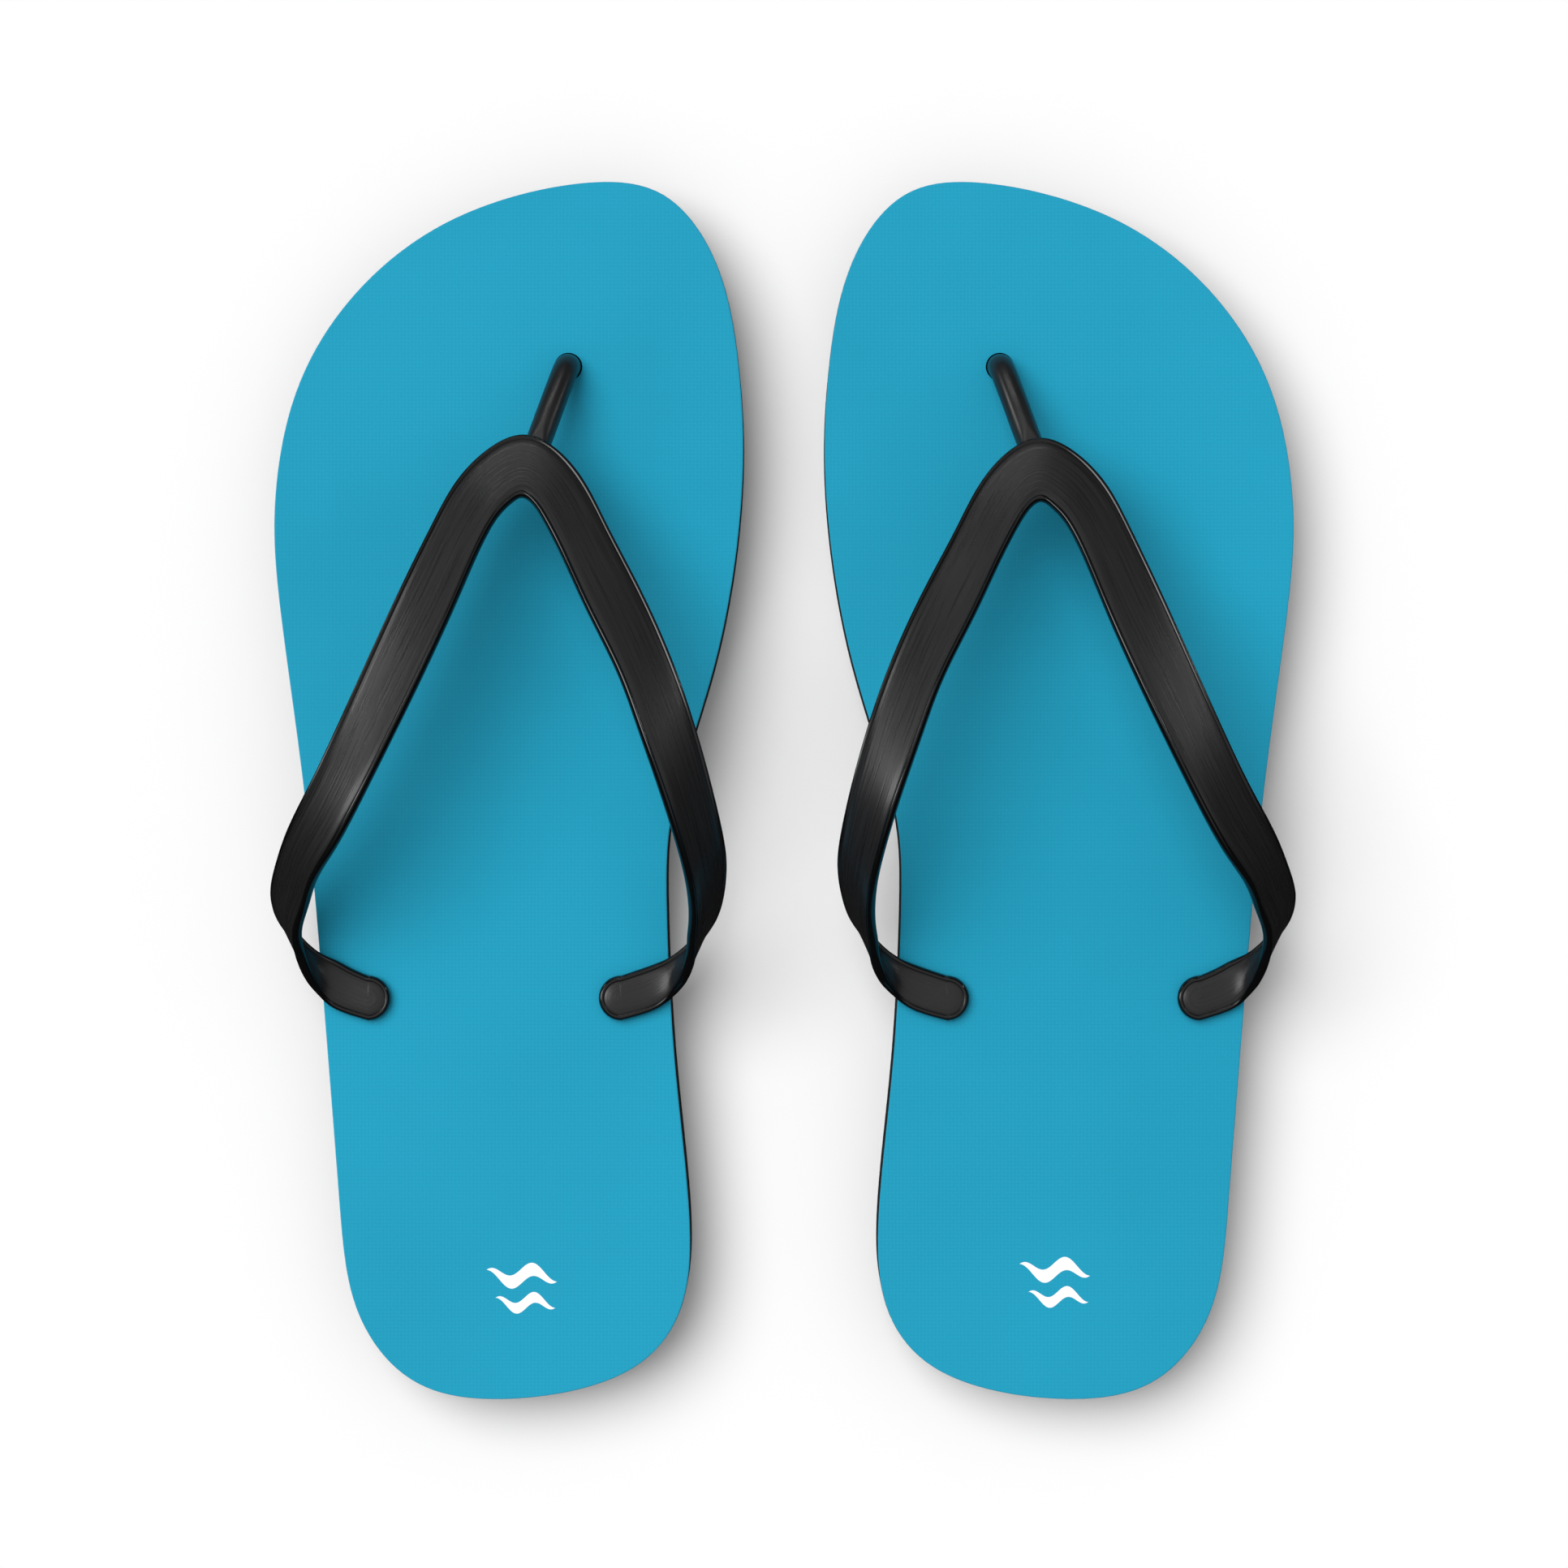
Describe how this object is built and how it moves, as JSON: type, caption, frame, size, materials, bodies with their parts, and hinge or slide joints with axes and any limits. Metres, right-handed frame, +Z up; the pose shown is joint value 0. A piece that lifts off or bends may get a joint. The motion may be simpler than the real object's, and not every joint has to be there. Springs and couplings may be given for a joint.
{
  "type": "flip flops",
  "caption": "Pair of toe-post sandals: flat laminated soles with a bright printed cloth top and a glossy moulded Y strap plugged through the sole.",
  "frame": {"origin": "on the ground, midway between the two soles and midway along them", "axes": "+Y towards the toes, +X towards the right shoe, +Z up; the shoes stand side by side with the big toes nearest each other"},
  "size_m": [0.226, 0.2698, 0.0507],
  "materials": {
    "cover_cloth": "fine flat weave, matte",
    "sole_foam": "closed-cell foam, matte",
    "sole_rubber": "ribbed, matte",
    "strap_pvc": "satin web with glossy beaded edges"
  },
  "bodies": {
    "left_rearfoot": {"left_outsole_rear": "sole_rubber", "left_midsole_rear": "sole_foam", "left_cover_rear": "cover_cloth", "left_strap": "strap_pvc"},
    "left_forefoot": {"left_outsole_fore": "sole_rubber", "left_midsole_fore": "sole_foam", "left_cover_fore": "cover_cloth"},
    "right_rearfoot": {"right_outsole_rear": "sole_rubber", "right_midsole_rear": "sole_foam", "right_cover_rear": "cover_cloth", "right_strap": "strap_pvc"},
    "right_forefoot": {"right_outsole_fore": "sole_rubber", "right_midsole_fore": "sole_foam", "right_cover_fore": "cover_cloth"}
  },
  "joints": [
    {"name": "left_toe_flex", "type": "hinge", "parent": "left_rearfoot", "child": "left_forefoot", "pos_m": [-0.061, 0.05, 0.016], "axis": [1, 0, 0], "range_deg": [0, 40], "stiffness_Nm_per_rad": 1.2, "deforming": ["left_strap"]},
    {"name": "right_toe_flex", "type": "hinge", "parent": "right_rearfoot", "child": "right_forefoot", "pos_m": [0.061, 0.05, 0.016], "axis": [1, 0, 0], "range_deg": [0, 40], "stiffness_Nm_per_rad": 1.2, "deforming": ["right_strap"]},
    {"name": "pair_spread", "type": "slide", "parent": "left_rearfoot", "child": "right_rearfoot", "axis": [1, 0, 0], "range_m": [0, 0.12]}
  ]
}
